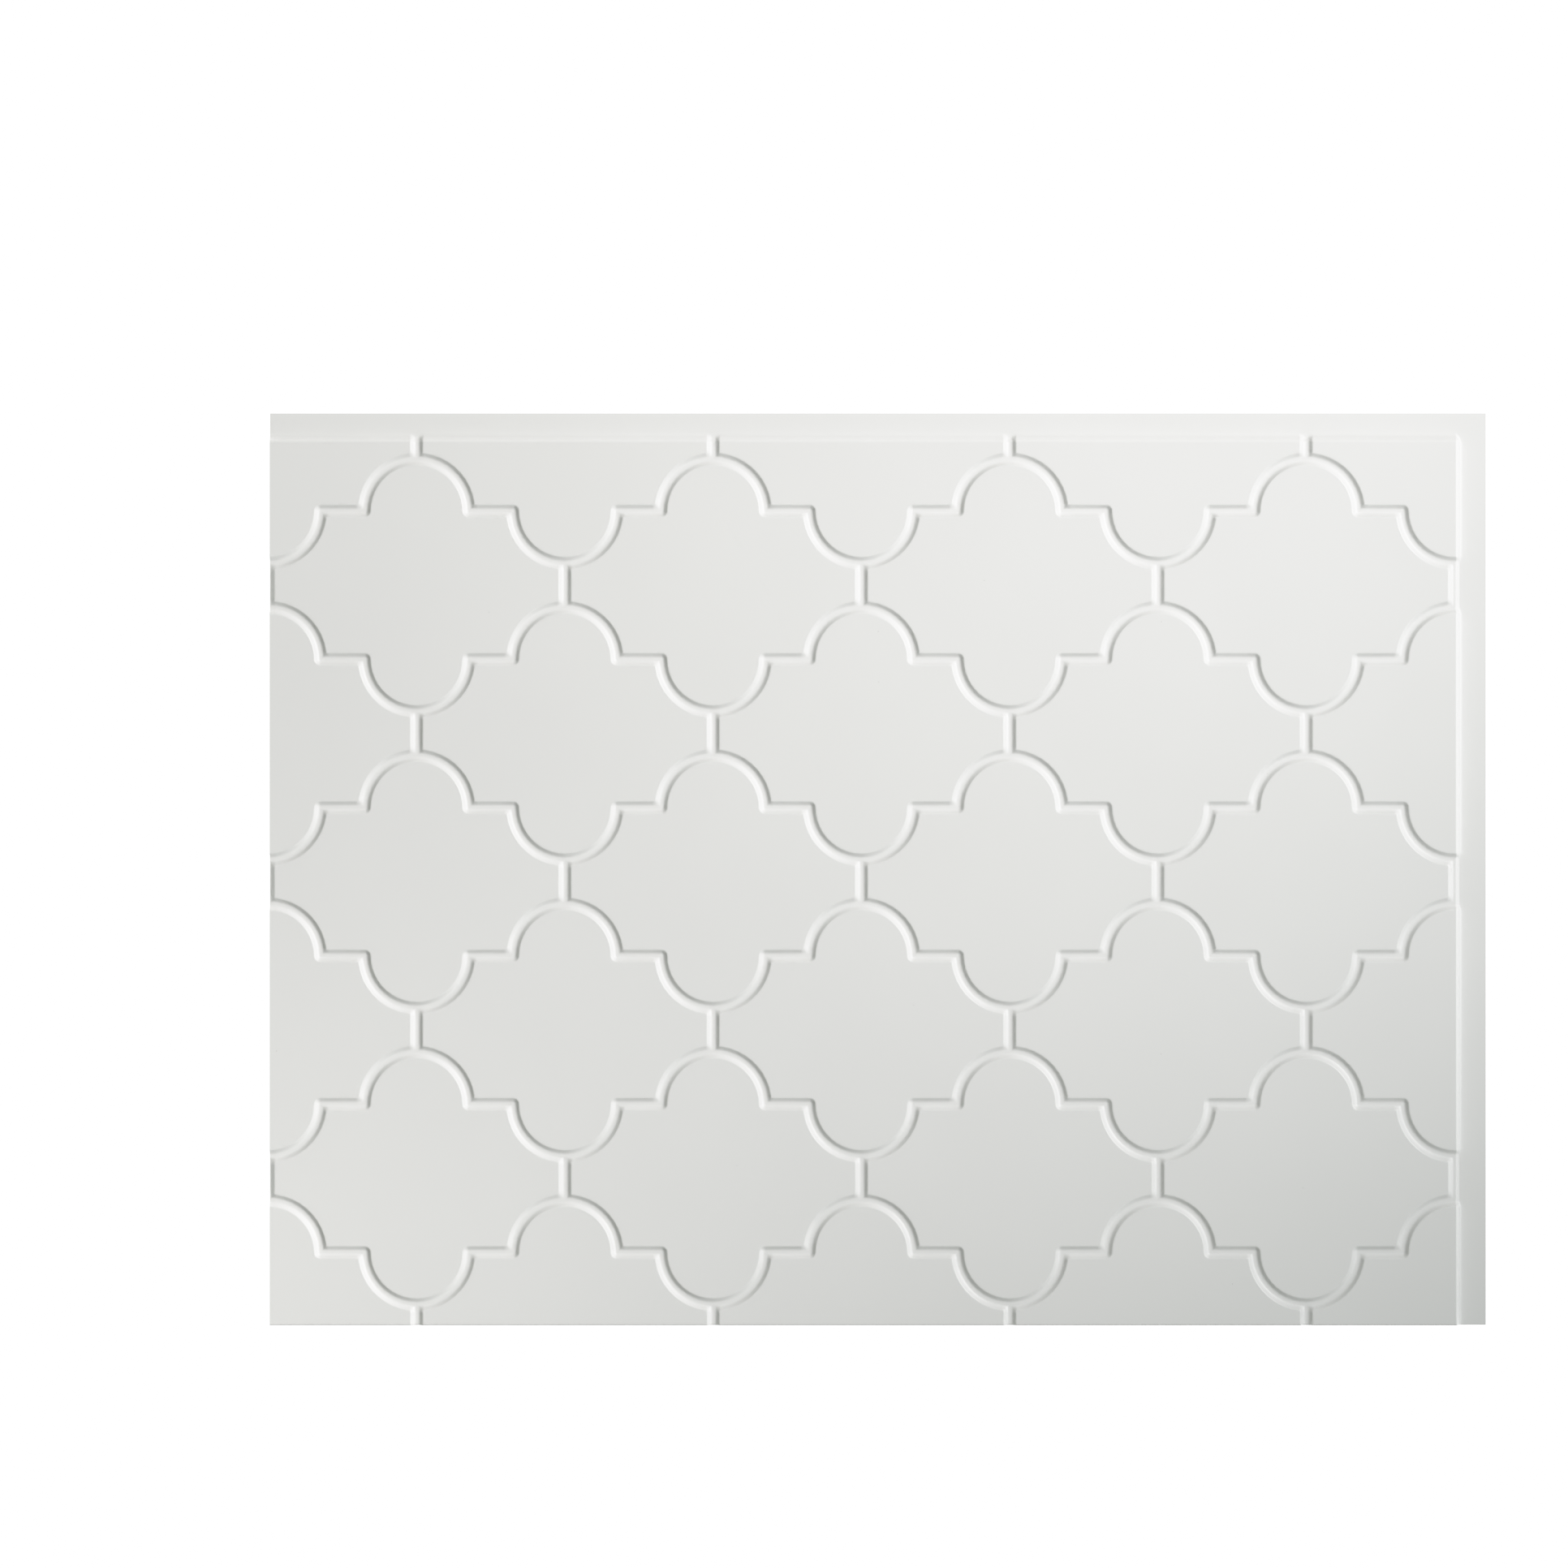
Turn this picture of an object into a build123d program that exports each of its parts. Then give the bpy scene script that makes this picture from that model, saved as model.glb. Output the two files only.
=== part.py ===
import os
from math import ceil, radians, tan

from build123d import *

# Vinyl backsplash panel: one thermoformed sheet with a lantern-tile relief, hollow behind, and a
# flat lap flange along the top and the right. It lies face up. Millimetres.

# lantern pattern, from groove centre line to groove centre line
repeat = 152.4
dome_radius = 26.8

# wall that one panel covers
cover_long = 609.6
cover_short = 457.2

# section of the sheet
sheet = 0.8
tile_rise = 1.8
lap_drop = 1.2
groove_floor = 2.5
wall_draft = 45.0

# edges: trim on the left and the bottom, flanges on the right and the top
edge_trim = 0.5
lap_right = 16.3
lap_top = 12.3
field_past_right = 0.4
field_short_top = 2.2
crest_corner = 1.0

# levels, up from the back of the flange
floor_back = lap_drop
floor_top = floor_back + sheet
face_back = floor_back + tile_rise
face_top = floor_top + tile_rise

# how far the sloped walls run out in plan, and the back wall's set-in that keeps the sheet's thickness
lean = tan(radians(wall_draft))
tile_run = tile_rise * lean
back_inset = sheet * tan(radians(45 - wall_draft / 2))

# outline, with the middle of the panel at the origin
length = cover_long - edge_trim + lap_right
width = cover_short - edge_trim + lap_top
pattern_left = -length / 2 - edge_trim
pattern_bottom = -width / 2 - edge_trim
crest_x = pattern_left + cover_long + field_past_right
crest_y = pattern_bottom + cover_short - field_short_top

# tiles that it takes to fill the outline
columns = ceil(cover_long / repeat)
rows = ceil(cover_short / repeat)
pattern_middle = (pattern_left + columns * repeat / 2, pattern_bottom + rows * repeat / 2)

# lantern outline: a dome above and below, a straight neck at each side, and scooped shoulders
half = repeat / 2
step = repeat / 4
neck = step - dome_radius
scoop = dome_radius * 0.5**0.5

with BuildSketch(Plane.XY) as lantern:
    with BuildLine():
        shoulder = ThreePointArc((half, neck), (half - scoop, step - scoop), (half - dome_radius, step))
        ledge = Line(shoulder @ 1, (dome_radius, step))
        mirror(about=Plane.XZ)
        Line((half, -neck), (half, neck))
        mirror(about=Plane.YZ)
        dome = ThreePointArc(ledge @ 1, (0, step + dome_radius), (-dome_radius, step))
        mirror(dome, about=Plane.XZ)
    make_face()


def lantern_block(foot_level, floor_level, crest_level, crest_inset):
    """One tile, or the pocket behind it, with walls that lean in from its foot to its crest."""
    with BuildPart() as block:
        for level in (foot_level, floor_level, crest_level):
            inset = crest_inset - (crest_level - level) * lean
            with BuildSketch(Plane.XY.offset(level)):
                add(lantern.sketch)
                offset(amount=-inset, kind=Kind.INTERSECTION, mode=Mode.REPLACE)
        loft(ruled=True)
    return block.part


def field_block(foot_level, rise, inset):
    """Raised field that slopes down on its right and its top, and runs past the other two edges."""
    run = rise * lean - inset
    with BuildPart() as block:
        with BuildSketch(Plane.XY.offset(foot_level)) as foot:
            with Locations((crest_x + run, crest_y + run)):
                Rectangle(length + half, width + half, align=(Align.MAX, Align.MAX))
            far_corner = foot.vertices().group_by(Axis.X)[-1].sort_by(Axis.Y)[-1]
            fillet(far_corner, crest_corner + run)
        extrude(amount=rise, taper=wall_draft)
    return block.part


def relief(foot_level, floor_level, crest_level, crest_inset, inset):
    """Groove floor with the tiles on it, kept inside the sloping sides of the raised field."""
    tile = lantern_block(foot_level, floor_level, crest_level, crest_inset)
    with BuildPart() as form:
        add(field_block(foot_level, floor_level - foot_level, inset))
        with Locations(pattern_middle):
            with GridLocations(repeat, repeat, columns + 1, rows + 1):
                add(tile)
            with GridLocations(repeat, repeat, columns, rows):
                add(tile)
        add(field_block(foot_level, crest_level - foot_level, inset), mode=Mode.INTERSECT)
    return form.part


tile_inset = groove_floor / 2 + tile_run
front = relief(sheet, floor_top, face_top, tile_inset, 0)
hollow = relief(0, floor_back, face_back, tile_inset + back_inset, back_inset)

# the formed sheet, hollow behind and trimmed to the panel's outline
with BuildPart() as panel:
    with BuildSketch(Plane.XY) as outline:
        Rectangle(length, width)
    extrude(amount=sheet)
    add(front)
    add(hollow, mode=Mode.SUBTRACT)
    with BuildSketch(Plane.XY):
        add(outline.sketch)
    extrude(amount=face_top, mode=Mode.INTERSECT)
panel.part.label = "panel"

os.makedirs("parts", exist_ok=True)
export_step(panel.part, "parts/panel.step")
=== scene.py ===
import math

import bmesh
import bpy
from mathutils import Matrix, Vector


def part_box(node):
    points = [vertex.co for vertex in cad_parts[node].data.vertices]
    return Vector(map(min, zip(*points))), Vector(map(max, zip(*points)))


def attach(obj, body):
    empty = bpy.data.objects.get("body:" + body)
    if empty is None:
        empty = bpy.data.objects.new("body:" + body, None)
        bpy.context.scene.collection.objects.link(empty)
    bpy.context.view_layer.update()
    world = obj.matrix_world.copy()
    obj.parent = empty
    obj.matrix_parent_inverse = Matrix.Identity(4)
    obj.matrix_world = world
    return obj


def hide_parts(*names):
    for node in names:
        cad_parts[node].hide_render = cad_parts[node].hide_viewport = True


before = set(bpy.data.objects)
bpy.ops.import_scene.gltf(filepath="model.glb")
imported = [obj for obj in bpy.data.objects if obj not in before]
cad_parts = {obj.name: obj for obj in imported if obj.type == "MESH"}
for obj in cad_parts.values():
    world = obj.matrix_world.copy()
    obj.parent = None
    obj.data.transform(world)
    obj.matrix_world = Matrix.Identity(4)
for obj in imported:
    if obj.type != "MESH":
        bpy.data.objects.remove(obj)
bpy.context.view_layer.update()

# The panel: one sheet of white rigid vinyl, warmed and drawn over a mould, so the raised lantern tiles
# are hollow behind and every bend is rounded. A flat flange is left along the right and the top, for the
# lap joint, and the left and the bottom are trimmed along the pattern.
mm = 0.001
hair = 0.02 * mm
touching = hair / 10
low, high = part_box("panel")
sheet = 0.8 * mm
repeat = 152.4 * mm
dome_radius = 26.8 * mm
cover_long = 609.6 * mm
cover_short = 457.2 * mm
edge_trim = 0.5 * mm
tile_rise = 1.8 * mm

half = repeat / 2
step = repeat / 4
neck = step - dome_radius
ledge = half - 2 * dome_radius
face_top = high[2]
floor_top = face_top - tile_rise
flange_top = low[2] + sheet
pattern_left = low[0] - edge_trim
pattern_bottom = low[1] - edge_trim


def pick(piece, kind, test):
    """Selects the vertices, edges or faces, in edit mode, that pass the test."""
    bpy.ops.mesh.select_mode(type=kind)
    bpy.ops.mesh.select_all(action="DESELECT")
    shape = bmesh.from_edit_mesh(piece.data)
    for part in {"VERT": shape.verts, "EDGE": shape.edges, "FACE": shape.faces}[kind]:
        part.select_set(test(part))
    bmesh.update_edit_mesh(piece.data)


def pick_at(piece, kind, test):
    """Selects the vertices, or the edges from end to end, that lie where the test says."""
    pick(piece, kind, lambda part: all(test(vert.co) for vert in getattr(part, "verts", [part])))


def extrude(x=0, y=0, z=0):
    """Extrudes what is selected, and moves the new part."""
    bpy.ops.mesh.extrude_region_move(TRANSFORM_OT_translate={"value": (x, y, z)})


# A quarter of the lantern's edge, along the middle of the groove: dome, ledge, scooped shoulder, neck
arc_steps = 11
past_corner = 4.6 * mm
bpy.ops.object.select_all(action="DESELECT")
bpy.ops.mesh.primitive_circle_add(vertices=4 * arc_steps, radius=dome_radius, location=(0, step, 0))
panel = bpy.context.object
panel.name = "formed_sheet"
bpy.ops.object.transform_apply(location=True)
bpy.ops.object.mode_set(mode="EDIT")
pick_at(panel, "VERT", lambda co: co.x < -hair or co.y < step - hair)
bpy.ops.mesh.delete(type="VERT")
pick_at(panel, "VERT", lambda co: abs(co.y - step) < hair)
for stretch in (past_corner, ledge - 2 * past_corner, past_corner):
    extrude(x=stretch)
bpy.ops.mesh.spin(steps=arc_steps, angle=-math.pi / 2, center=(half, step, 0), axis=(0, 0, 1))
for stretch in (past_corner, neck - past_corner):
    extrude(y=-stretch)
bpy.ops.object.mode_set(mode="OBJECT")


def apply_modifier(piece, kind, **settings):
    """Adds a modifier with its settings, and applies it."""
    bpy.ops.object.modifier_add(type=kind)
    modifier = piece.modifiers[-1]
    for name, value in settings.items():
        setattr(modifier, name, value)
    bpy.ops.object.modifier_apply(modifier=modifier.name)


# The whole lantern, filled at the level of the groove's floor
apply_modifier(panel, "MIRROR", use_axis=(True, True, False), merge_threshold=hair)
bpy.ops.object.mode_set(mode="EDIT")
bpy.ops.mesh.select_all(action="SELECT")
bpy.ops.mesh.edge_face_add()
bpy.ops.transform.translate(value=(0, 0, floor_top))


def largest_area(piece):
    """Area of the largest face, in edit mode, which is the one inside the rings made so far."""
    return max(face.calc_area() for face in bmesh.from_edit_mesh(piece.data).faces)


# Half of the groove's floor, with the corner between dome and ledge rounded by cutting it ever finer, and
# the slivers that this leaves merged
groove_floor = 2.5 * mm
foot_radius = 2.0 * mm
wall_draft = 45
floor_flat = groove_floor / 2 - foot_radius * math.tan(math.radians(wall_draft / 2))
corner_reach = 1.6 * floor_flat
sliver_area = 0.2 * mm**2


def at_corner(vert, area):
    """Whether a vertex of the face with this area lies close to a corner between dome and ledge."""
    on_face = any(face.calc_area() == area for face in vert.link_faces)
    return on_face and math.dist((abs(vert.co.x), abs(vert.co.y)), (dome_radius, step)) < corner_reach


bpy.ops.mesh.inset(thickness=floor_flat, depth=0)
for turn in (90, 45, 22.5):
    inside_area = largest_area(panel)
    pick(panel, "VERT", lambda vert: at_corner(vert, inside_area))
    snip = floor_flat * (math.tan(math.radians(turn / 2)) - math.tan(math.radians(turn / 4)))
    bpy.ops.mesh.bevel(offset=snip, segments=1, affect="VERTICES")
pick(panel, "FACE", lambda face: face.calc_area() < sliver_area)
bpy.ops.mesh.dissolve_faces(use_verts=False)


def bend(radius, before, after, steps):
    """Steps along and across that follow a bend from one slope to another, in degrees."""
    sense = radius if after > before else -radius
    turns = [math.radians(before + (after - before) * k / steps) for k in range(steps + 1)]
    return [
        (sense * (math.sin(b) - math.sin(a)), sense * (math.cos(a) - math.cos(b)))
        for a, b in zip(turns, turns[1:])
    ]


# The wall: a rounded foot, a straight slope and a rounded crest, up to the tile's flat face
crest_radius = 1.1 * mm
foot_steps = 4
crest_steps = 3
face_margin = 0.3 * mm
rise_left = tile_rise - (foot_radius + crest_radius) * (1 - math.cos(math.radians(wall_draft)))
slope = (rise_left / math.tan(math.radians(wall_draft)), rise_left)
rounded_foot = bend(foot_radius, 0, wall_draft, foot_steps)
rounded_crest = bend(crest_radius, wall_draft, 0, crest_steps)
inside_area = largest_area(panel)
pick(panel, "FACE", lambda face: face.calc_area() == inside_area)
for along, across in rounded_foot + [slope] + rounded_crest + [(face_margin, 0)]:
    bpy.ops.mesh.inset(thickness=along, depth=across)

# The lanterns of the next row stand in the gaps of this one, and the two rows are repeated
columns = round(cover_long / repeat) + 1
rows = round(cover_short / repeat) + 1
bpy.ops.mesh.select_all(action="SELECT")
bpy.ops.transform.translate(value=(pattern_left, pattern_bottom, 0))
bpy.ops.mesh.duplicate_move(TRANSFORM_OT_translate={"value": (half, half, 0)})
bpy.ops.object.mode_set(mode="OBJECT")
for count, apart in ((columns, (repeat, 0, 0)), (rows, (0, repeat, 0))):
    apply_modifier(
        panel,
        "ARRAY",
        count=count,
        use_relative_offset=False,
        use_constant_offset=True,
        constant_offset_displace=apart,
    )
bpy.ops.object.mode_set(mode="EDIT")
bpy.ops.mesh.select_all(action="SELECT")
bpy.ops.mesh.remove_doubles(threshold=touching)


def cut(place, direction):
    """Cuts off everything past a plane."""
    bpy.ops.mesh.select_all(action="SELECT")
    bpy.ops.mesh.bisect(plane_co=place, plane_no=direction, clear_outer=True, threshold=touching)


def flatten_to_flange():
    """Brings what is selected to the level of the flange's upper face."""
    bpy.ops.transform.resize(value=(1, 1, 0), center_override=(0, 0, flange_top))


# Right and top: the field is cut near its crest and drawn down to the level of the flange, the ends of the
# grooves are smoothed out, and the flange then runs on to its edge
field_short_top = 2.2 * mm
before_crest = 1.2 * mm
fall_steps = 6
bend_steps = 4
flat_rows = 5
flat_row = 0.35 * mm
smooth_rounds = 12
low_on_fall = flange_top + tile_rise / 2
right_cut = pattern_left + cover_long
top_cut = pattern_bottom + cover_short - field_short_top - before_crest
for axis, start, border, lead, draft, crest, foot in (
    (0, right_cut, high[0], 0.55 * mm, 58, 1.0 * mm, 1.1 * mm),
    (1, top_cut, high[1], 0.5 * mm, 45, 1.6 * mm, 2.2 * mm),
):
    over_crest = [(lead, 0)] + bend(crest, 0, draft, bend_steps)
    into_foot = bend(foot, draft, 0, bend_steps)
    drop = (face_top - flange_top - sum(across for along, across in over_crest + into_foot)) / fall_steps
    straight = [(drop / math.tan(math.radians(draft)), drop)] * fall_steps
    past_crest = start + sum(along for along, across in over_crest)
    outward = [float(k == axis) for k in range(3)]
    cut([start * k for k in outward], outward)
    pick_at(panel, "EDGE", lambda co: co[axis] > start - hair)
    reach = start
    for along, across in over_crest + straight + into_foot + [(flat_row, 0)] * flat_rows:
        extrude(outward[0] * along, outward[1] * along, -across)
        reach += along
    pick_at(panel, "VERT", lambda co: co.z < flange_top)
    flatten_to_flange()
    pick_at(panel, "VERT", lambda co: co[axis] > past_crest - hair and co.z < low_on_fall)
    bpy.ops.mesh.vertices_smooth(factor=0.5, repeat=smooth_rounds, xaxis=False, yaxis=False, zaxis=True)
    pick_at(panel, "EDGE", lambda co: co[axis] > reach - hair)
    flatten_to_flange()
    extrude(outward[0] * (border - reach), outward[1] * (border - reach))

# Left and bottom: trimmed straight through faces and grooves, close to the pattern's own line, with a row
# of edges along the bottom that keeps the broken corner narrow
support_row = 0.8 * mm
cut((low[0], 0, 0), (-1, 0, 0))
cut((0, low[1], 0), (0, -1, 0))
bpy.ops.mesh.select_all(action="SELECT")
bpy.ops.mesh.bisect(plane_co=(0, low[1] + support_row, 0), plane_no=(0, 1, 0))

# The sheet's thickness, behind the drawn face
bpy.ops.mesh.select_all(action="SELECT")
bpy.ops.mesh.normals_make_consistent(inside=False)
bpy.ops.object.mode_set(mode="OBJECT")
apply_modifier(panel, "SOLIDIFY", thickness=sheet, offset=-1, use_even_offset=True)

# The trimmed bottom edge, with its upper corner broken
looks_up = 0.5
looks_out = -0.8
broken_corner = 0.5 * mm
sharpest_smooth = math.radians(70)


def on_bottom_rim(edge):
    """Whether an edge lies between a face that looks up and one that looks out at the bottom."""
    turns = [face.normal for face in edge.link_faces]
    return max(turn.z for turn in turns) > looks_up and min(turn.y for turn in turns) < looks_out


bpy.ops.object.mode_set(mode="EDIT")
pick(panel, "EDGE", on_bottom_rim)
bpy.ops.mesh.bevel(offset=broken_corner, segments=3, affect="EDGES")
bpy.ops.object.mode_set(mode="OBJECT")
bpy.ops.object.shade_smooth_by_angle(angle=sharpest_smooth)
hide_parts("panel")
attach(panel, "root")


class Wire:
    """One output of a shader node: maths on it adds Math nodes, and node() adds any other kind."""

    def __init__(self, tree, socket=None):
        self.tree = tree
        self.socket = socket

    def node(self, kind, settings, sockets, output=0):
        made = self.tree.nodes.new(kind)
        for name, value in settings.items():
            setattr(made, name, value)
        for name, value in sockets.items():
            if isinstance(value, Wire):
                self.tree.links.new(value.socket, made.inputs[name])
            else:
                made.inputs[name].default_value = value
        return Wire(self.tree, made.outputs[output] if made.outputs else None)

    def maths(self, operation, first, second):
        return self.node("ShaderNodeMath", {"operation": operation}, {0: first, 1: second})

    def __add__(self, other):
        return self.maths("ADD", self, other)

    def __sub__(self, other):
        return self.maths("SUBTRACT", self, other)

    def __rsub__(self, other):
        return self.maths("SUBTRACT", other, self)

    def __mul__(self, other):
        return self.maths("MULTIPLY", self, other)

    def __lt__(self, other):
        return self.maths("LESS_THAN", self, other)

    __radd__ = __add__
    __rmul__ = __mul__


def start_material(name):
    """A new material without nodes, and a wire that adds them."""
    material = bpy.data.materials.new(name)
    material.use_nodes = True
    material.node_tree.nodes.clear()
    return material, Wire(material.node_tree)


# The vinyl's finish: satin white, faintly clouded, with a fine orange-peel skin and a few dark specks. On
# top of it,
# painted shade: the colour is a little darker along the broken corner of the raised bottom edge
paleness = 0.83
greenness = 1.003
blueness = 0.995
clouding = 0.02
cloud_scale = 14
peel_scale = 900
peel_strength = 0.04
peel_depth = 0.1 * mm
speck_scale = 55
speck_radius = 0.011
speck_share = 0.02
speck_depth = 0.35
# Painted shade along the raised bottom edge: full up to 0.4 mm from the edge, fading out by 1 mm, none on
# the flange
painted_shade_full = 0.4 * mm
painted_shade_end = 1.0 * mm
painted_shade_depth = 0.18
painted_shade_min_level = floor_top - 0.5 * mm
satin = 0.38
satin_clouding = 0.08
vinyl_ior = 1.53
vinyl, wire = start_material("vinyl")
place = wire.node("ShaderNodeTexCoord", {}, {}, "Object")
cloud = wire.node("ShaderNodeTexNoise", {}, {"Vector": place, "Scale": cloud_scale, "Detail": 3})
peel = wire.node("ShaderNodeTexNoise", {}, {"Vector": place, "Scale": peel_scale, "Detail": 2})
cells = {"Vector": place, "Scale": speck_scale}
from_speck = wire.node("ShaderNodeTexVoronoi", {"voronoi_dimensions": "2D"}, cells, "Distance")
cell_color = wire.node("ShaderNodeTexVoronoi", {"voronoi_dimensions": "2D"}, cells, "Color")
rare = wire.node("ShaderNodeSeparateColor", {}, {"Color": cell_color}, "Red") < speck_share
speck = (from_speck < speck_radius) * rare
along_y = wire.node("ShaderNodeSeparateXYZ", {}, {"Vector": place}, "Y")
level = wire.node("ShaderNodeSeparateXYZ", {}, {"Vector": place}, "Z")
painted_shade_near_bottom = wire.node(
    "ShaderNodeMapRange",
    {},
    {
        "Value": along_y,
        "From Min": low[1] + painted_shade_full,
        "From Max": low[1] + painted_shade_end,
        "To Min": 1,
        "To Max": 0,
    },
)
# Painted shade: darker colour along the raised bottom edge, standing in for the shade on its broken corner
painted_edge_shade = painted_shade_near_bottom * (1 - (level < painted_shade_min_level))
shade = (paleness + cloud * clouding) * (1 - speck * speck_depth) * (1 - painted_edge_shade * painted_shade_depth)
paint = wire.node(
    "ShaderNodeCombineColor",
    {},
    {"Red": shade, "Green": shade * greenness, "Blue": shade * blueness},
)
bump = wire.node("ShaderNodeBump", {}, {"Strength": peel_strength, "Distance": peel_depth, "Height": peel})
skin = wire.node(
    "ShaderNodeBsdfPrincipled",
    {},
    {"Base Color": paint, "Roughness": satin + cloud * satin_clouding, "IOR": vinyl_ior, "Normal": bump},
)
wire.node("ShaderNodeOutputMaterial", {}, {"Surface": skin})
panel.data.materials.append(vinyl)

# The floor: a table top that the panel lies on, which glows white around it as a light table does.
# Under the panel's outline it is plain and pale, so the hollow behind the raised edges stays in shade.
floor_size = 8
floor_gap = 0.1 * mm
glow = 2.0
pale = (0.9, 0.9, 0.9, 1)
bpy.ops.mesh.primitive_plane_add(size=floor_size, location=(0, 0, low[2] - floor_gap))
floor = bpy.context.object
floor.name = "floor"
white, wire = start_material("white")
place = wire.node("ShaderNodeTexCoord", {}, {}, "Object")
off_middle = wire.node("ShaderNodeVectorMath", {"operation": "ABSOLUTE"}, {0: place})
covered_x = wire.node("ShaderNodeSeparateXYZ", {}, {"Vector": off_middle}, "X") < high[0]
covered_y = wire.node("ShaderNodeSeparateXYZ", {}, {"Vector": off_middle}, "Y") < high[1]
lit = wire.node("ShaderNodeEmission", {}, {"Strength": glow})
shaded = wire.node("ShaderNodeBsdfDiffuse", {}, {"Color": pale})
surface = wire.node("ShaderNodeMixShader", {}, {0: covered_x * covered_y, 1: lit, 2: shaded})
wire.node("ShaderNodeOutputMaterial", {}, {"Surface": surface})
floor.data.materials.append(white)

# The light: three soft lamps on the same side, to the right and a little up, each aimed at its own place
# so that its beam fades over the panel, and an even, pale room around them.
lamp_turn = math.radians(17)
lamp_height = math.radians(46)
lamp_away = 3.0
lamp_radius = 0.2
room_color = (0.94, 1.0, 0.88, 1)
room_strength = 0.218
to_lamp = (
    math.cos(lamp_height) * math.cos(lamp_turn),
    math.cos(lamp_height) * math.sin(lamp_turn),
    math.sin(lamp_height),
)
for name, aim, spread, energy, color in (
    ("lamp_main", (-0.291, 0.328), 1.077, 269, (1.0, 0.96, 0.96)),
    ("lamp_side", (-0.532, -0.354), 0.347, 157, (1.0, 0.97, 0.96)),
    ("lamp_broad", (-0.07, -0.475), 2.329, 90, (0.906, 0.948, 1.0)),
):
    bpy.ops.object.light_add(
        type="SPOT",
        location=[k + lamp_away * way for k, way in zip(aim + (face_top,), to_lamp)],
        rotation=(0, math.pi / 2 - lamp_height, lamp_turn),
    )
    lamp = bpy.context.object
    lamp.name = name
    lamp.data.energy = energy
    lamp.data.color = color
    lamp.data.spot_size = 2 * math.atan(spread / lamp_away)
    lamp.data.spot_blend = 1
    lamp.data.shadow_soft_size = lamp_radius
room = bpy.data.worlds.new("room")
bpy.context.scene.world = room
room.use_nodes = True
room.node_tree.nodes["Background"].inputs["Color"].default_value = room_color
room.node_tree.nodes["Background"].inputs["Strength"].default_value = room_strength

# The camera: a long lens that looks straight down, from a little to the left of and above the panel's
# middle, and from so far up that it takes in the view's width at the level of the tile faces.
view_width = 0.8057
view_middle = (-0.0483, 0.0438)
lens = 150
sensor = 36
bpy.ops.object.camera_add(
    location=view_middle + (face_top + view_width * lens / sensor,),
    rotation=(0, 0, 0),
)
camera = bpy.context.object
camera.data.lens = lens
camera.data.sensor_width = sensor
bpy.context.scene.camera = camera

# The picture's tones: true up to a light grey, then rounded off so that the lit walls don't burn out.
# The curve for all colours together takes the brightness and gives the tone that is shown.
brightest = 1.6
all_colors = 3
view = bpy.context.scene.view_settings
view.view_transform = "Standard"
view.use_curve_mapping = True
view.curve_mapping.white_level = (brightest, brightest, brightest)
tones = view.curve_mapping.curves[all_colors].points
for brightness, shown in (
    (0.36, 0.36),
    (0.72, 0.72),
    (0.85, 0.837),
    (1.0, 0.925),
    (1.15, 0.97),
    (1.3, 0.99),
):
    tones.new(brightness / brightest, shown)
view.curve_mapping.update()
